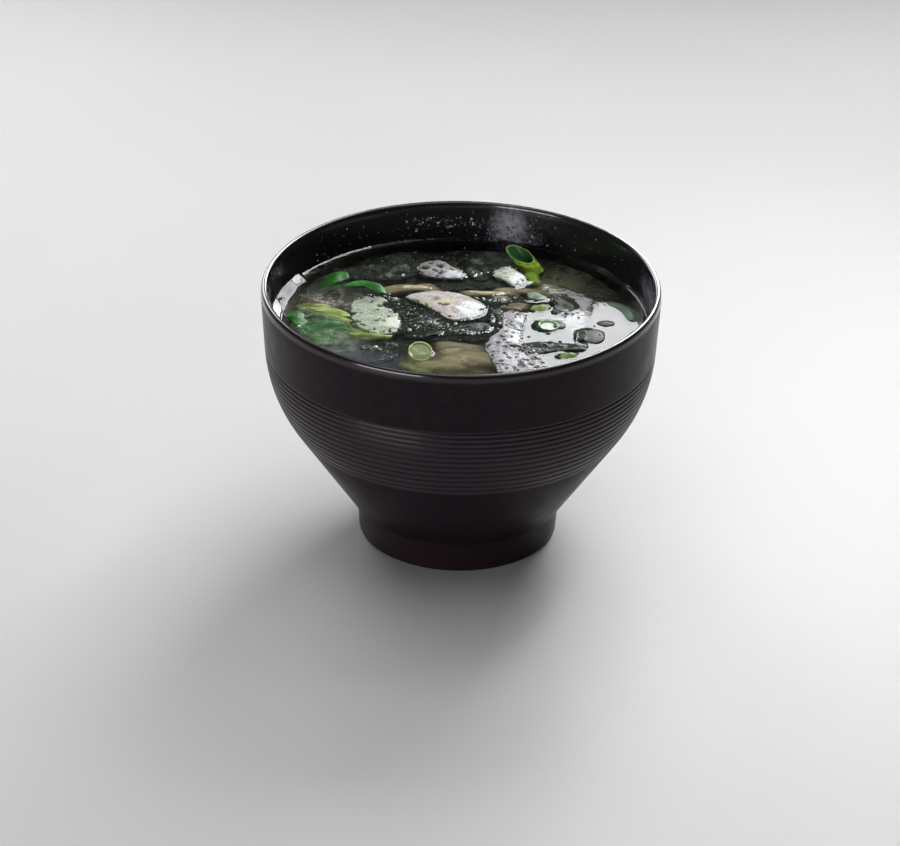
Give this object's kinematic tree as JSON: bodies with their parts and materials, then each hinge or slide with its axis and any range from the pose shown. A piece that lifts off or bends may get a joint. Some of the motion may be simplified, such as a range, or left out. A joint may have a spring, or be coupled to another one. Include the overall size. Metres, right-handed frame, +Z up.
{
  "type": "bowl of miso soup",
  "caption": "Miso soup in a dark turned bowl with fine lines round its bend: broth with foam, spring onion, wakame and fried tofu floating at its level.",
  "frame": {"origin": "centre of the foot's underside, on the surface that the bowl stands on", "axes": "+Z up through the bowl's mouth; the pictured side faces -Y, with +X to its right"},
  "size_m": [0.115, 0.115, 0.0785],
  "materials": {
    "lacquer": "dark satin lacquer with a faint brown tint",
    "broth": "wet, cloudy olive broth",
    "scallion_green": "moist leaf",
    "scallion_dark": "moist dark leaf",
    "scallion_pale": "moist yellow-green stem",
    "fried_tofu": "soft, porous, soaked",
    "wakame": "wet, wrinkled",
    "foam": "fine bubbles"
  },
  "bodies": {
    "root": {"bowl": "lacquer", "broth": "broth", "scallion_slice_back": "scallion_green", "scallion_slice_front": "scallion_pale", "scallion_slice_right": "scallion_green", "scallion_slice_near_rim": "scallion_pale", "scallion_leaf_back_left": "scallion_green", "scallion_curl_back_left": "scallion_green", "scallion_strand_left": "scallion_pale", "scallion_leaf_left_wall": "scallion_green", "scallion_leaf_left_front": "scallion_dark", "scallion_strand_front_left": "scallion_pale", "scallion_bit_right": "scallion_pale", "scallion_bit_front_right": "scallion_pale", "scallion_bit_back_right": "scallion_dark", "scallion_leaf_right_wall": "scallion_dark", "scallion_leaf_near_rim": "scallion_green", "fried_tofu_front": "fried_tofu", "fried_tofu_back_left": "fried_tofu", "fried_tofu_back_middle": "fried_tofu", "fried_tofu_right": "fried_tofu", "wakame_centre": "wakame", "wakame_middle": "wakame", "wakame_back_left": "wakame", "wakame_back_right": "wakame", "wakame_front_left": "wakame", "wakame_front_right": "wakame", "wakame_back_bubbly": "wakame", "wakame_near_rim": "wakame", "wakame_right": "wakame", "foam_left": "foam", "foam_centre": "foam", "foam_back": "foam", "foam_back_right": "foam", "foam_front": "foam"}
  },
  "joints": []
}
